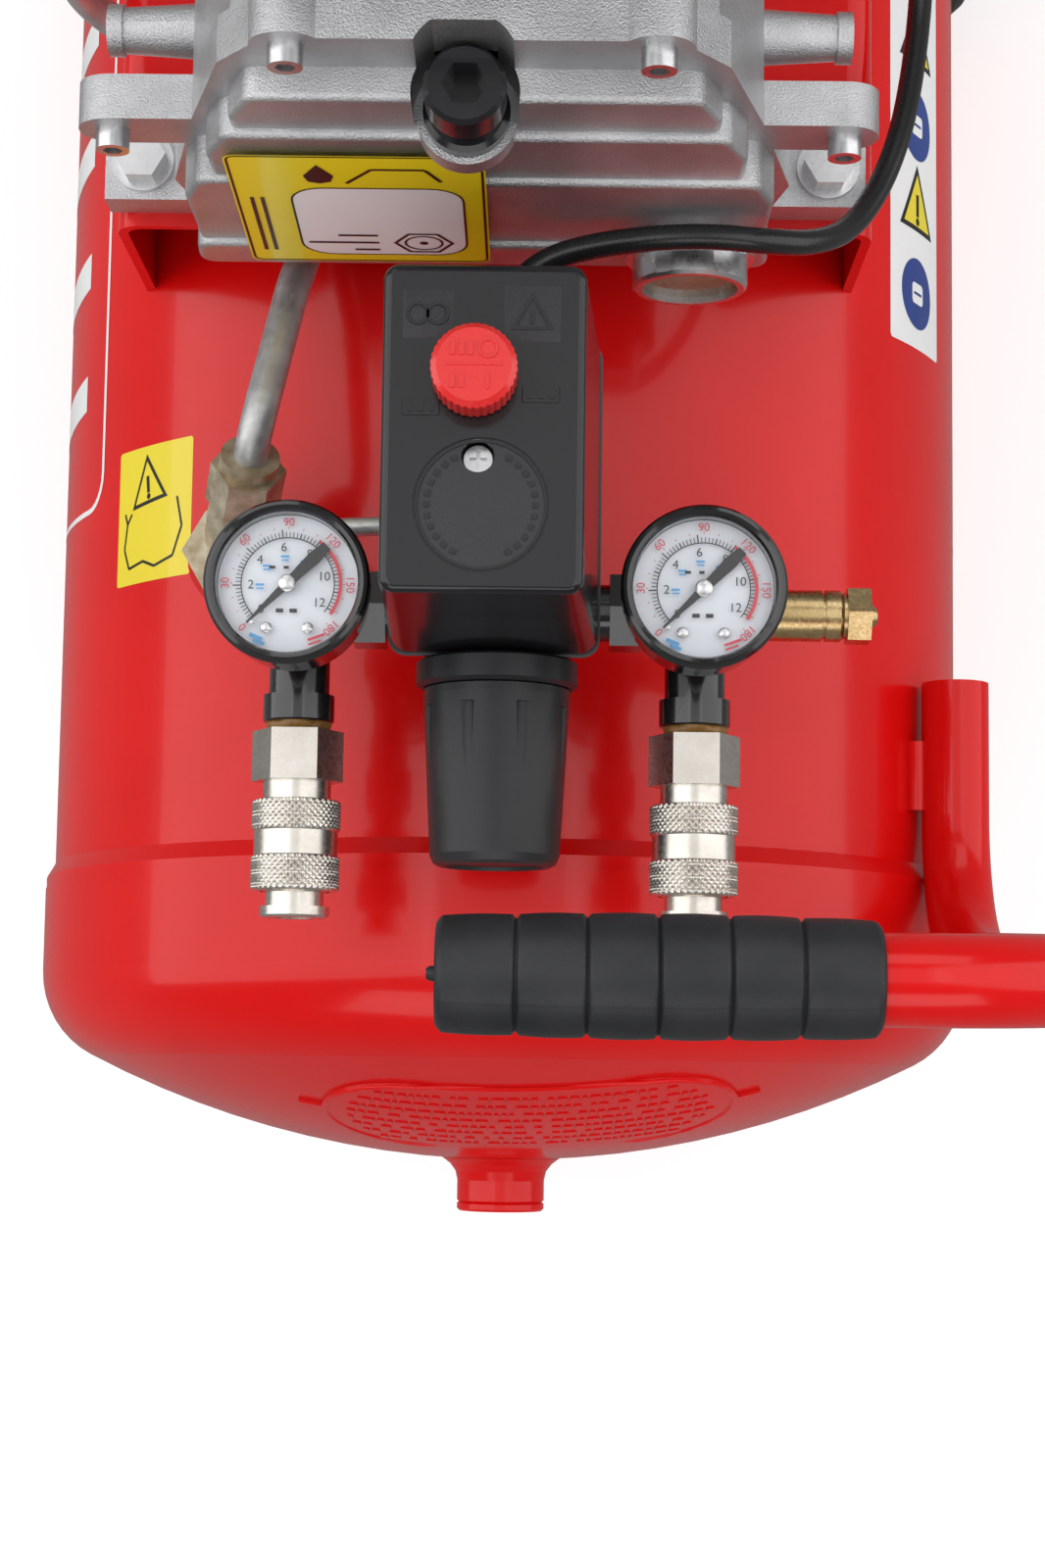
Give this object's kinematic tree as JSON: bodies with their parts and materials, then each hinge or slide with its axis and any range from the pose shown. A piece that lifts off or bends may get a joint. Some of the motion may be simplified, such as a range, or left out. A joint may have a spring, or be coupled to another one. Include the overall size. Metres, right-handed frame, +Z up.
{
  "type": "air compressor",
  "caption": "Wheeled horizontal-tank air compressor with a direct-drive oil-lubricated pump, pressure switch, regulator, gauges, quick couplers and a side handle.",
  "frame": {"origin": "on the floor under the middle of the object's box", "axes": "+Z up, +X to the right when facing the front head, +Y from the front head towards the wheels"},
  "size_m": [0.39, 0.7566, 0.651],
  "materials": {
    "red_paint": "gloss powder coat",
    "cast_aluminium": "sand-cast, silver painted",
    "tube_aluminium": "drawn, dull",
    "black_gloss": "moulded gloss",
    "black_enamel": "gloss enamel",
    "black_matte": "moulded, fine texture",
    "grip_rubber": "soft rubber",
    "foot_rubber": "moulded rubber",
    "tyre": "solid rubber",
    "zinc": "bright zinc plate",
    "nickel": "nickel plate",
    "brass": "machined",
    "steel": "machined",
    "dial": "printed enamel",
    "pointer": "black lacquer",
    "clear": "clear",
    "oil_lens": "clear over oil",
    "red_plastic": "moulded",
    "motor_paint": "silver enamel",
    "copper_core": "laminated core and windings",
    "lead_sheath": "black sheath",
    "grey_plastic": "moulded"
  },
  "bodies": {
    "root": {"air_filter": "black_matte", "cable_glands": "black_matte", "capacitor_box": "black_matte", "check_valve": "brass", "coupler_bodies": "nickel", "crankcase": "cast_aluminium", "crankcase_cover": "cast_aluminium", "cylinder": "cast_aluminium", "cylinder_head": "cast_aluminium", "data_plate": "red_paint", "delivery_tube": "tube_aluminium", "drain_valve_body": "brass", "fan_cover": "black_matte", "foot_bolts": "zinc", "front_feet": "foot_rubber", "gauge_cases": "black_enamel", "gauge_dials": "dial", "gauge_lenses": "clear", "gauge_movements": "brass", "handle_grip": "grip_rubber", "handle_tube": "red_paint", "machine_screws": "zinc", "manifold": "black_enamel", "motor_bearings": "steel", "motor_end_shield": "cast_aluminium", "motor_housing": "motor_paint", "motor_lead": "lead_sheath", "oil_filler_plug": "black_gloss", "pump_platform": "red_paint", "regulator_body": "black_matte", "safety_valve": "brass", "sight_glass_lens": "oil_lens", "sight_glass_ring": "zinc", "stator": "copper_core", "switch_base": "grey_plastic", "switch_contacts": "grey_plastic", "switch_cover": "black_gloss", "tank_brackets": "red_paint", "tank_heads": "red_paint", "tank_shell": "red_paint", "tank_sockets": "red_paint", "unloader_tube": "tube_aluminium", "valve_plate": "steel", "wheel_axle": "zinc"},
    "left_wheel": {"left_wheel_rim": "grey_plastic", "left_wheel_tyre": "tyre"},
    "right_wheel": {"right_wheel_rim": "grey_plastic", "right_wheel_tyre": "tyre"},
    "rotor_set": {"rotor": "steel", "cooling_fan": "grey_plastic", "crankshaft": "steel"},
    "piston_body": {"piston": "cast_aluminium"},
    "rod_body": {"connecting_rod": "cast_aluminium"},
    "power_knob": {"switch_knob": "red_plastic"},
    "pressure_knob": {"regulator_knob": "black_matte"},
    "left_pointer": {"left_gauge_pointer": "pointer"},
    "right_pointer": {"right_gauge_pointer": "pointer"},
    "left_sleeve": {"left_coupler_sleeve": "nickel"},
    "right_sleeve": {"right_coupler_sleeve": "nickel"},
    "drain_screw": {"drain_valve_knob": "brass"}
  },
  "joints": [
    {"name": "left_wheel_spin", "type": "hinge", "parent": "root", "child": "left_wheel", "pos_m": [-0.17, 0.19875, 0.075], "axis": [1, 0, 0], "continuous": true},
    {"name": "right_wheel_spin", "type": "hinge", "parent": "root", "child": "right_wheel", "pos_m": [0.17, 0.19875, 0.075], "axis": [1, 0, 0], "continuous": true},
    {"name": "motor_spin", "type": "hinge", "parent": "root", "child": "rotor_set", "pos_m": [-0.006, 0.09875, 0.485], "axis": [0, 1, 0], "continuous": true},
    {"name": "piston_stroke", "type": "slide", "parent": "root", "child": "piston_body", "axis": [0, 0, 1], "range_m": [-0.04, 0]},
    {"name": "rod_swing", "type": "hinge", "parent": "piston_body", "child": "rod_body", "pos_m": [-0.006, -0.01325, 0.59], "axis": [0, 1, 0], "range_deg": [-13.6, 13.6]},
    {"name": "power_knob_pull", "type": "slide", "parent": "root", "child": "power_knob", "axis": [0, 0, 1], "range_m": [0, 0.006]},
    {"name": "pressure_knob_turn", "type": "hinge", "parent": "root", "child": "pressure_knob", "pos_m": [0, -0.23125, 0.435], "axis": [0, -1, 0], "range_deg": [-360, 360]},
    {"name": "left_pointer_turn", "type": "hinge", "parent": "root", "child": "left_pointer", "pos_m": [-0.055, -0.20325, 0.4744], "axis": [0, 0, 1], "range_deg": [-270, 0]},
    {"name": "right_pointer_turn", "type": "hinge", "parent": "root", "child": "right_pointer", "pos_m": [0.055, -0.20325, 0.4744], "axis": [0, 0, 1], "range_deg": [-270, 0]},
    {"name": "left_sleeve_slide", "type": "slide", "parent": "root", "child": "left_sleeve", "axis": [0, 1, 0], "range_m": [0, 0.004], "stiffness_N_per_m": 900, "springref_m": -0.001},
    {"name": "right_sleeve_slide", "type": "slide", "parent": "root", "child": "right_sleeve", "axis": [0, 1, 0], "range_m": [0, 0.004], "stiffness_N_per_m": 900, "springref_m": -0.001},
    {"name": "drain_screw_turn", "type": "hinge", "parent": "root", "child": "drain_screw", "pos_m": [0, 0.00875, 0.07], "axis": [0, 0, 1], "range_deg": [0, 540]}
  ]
}
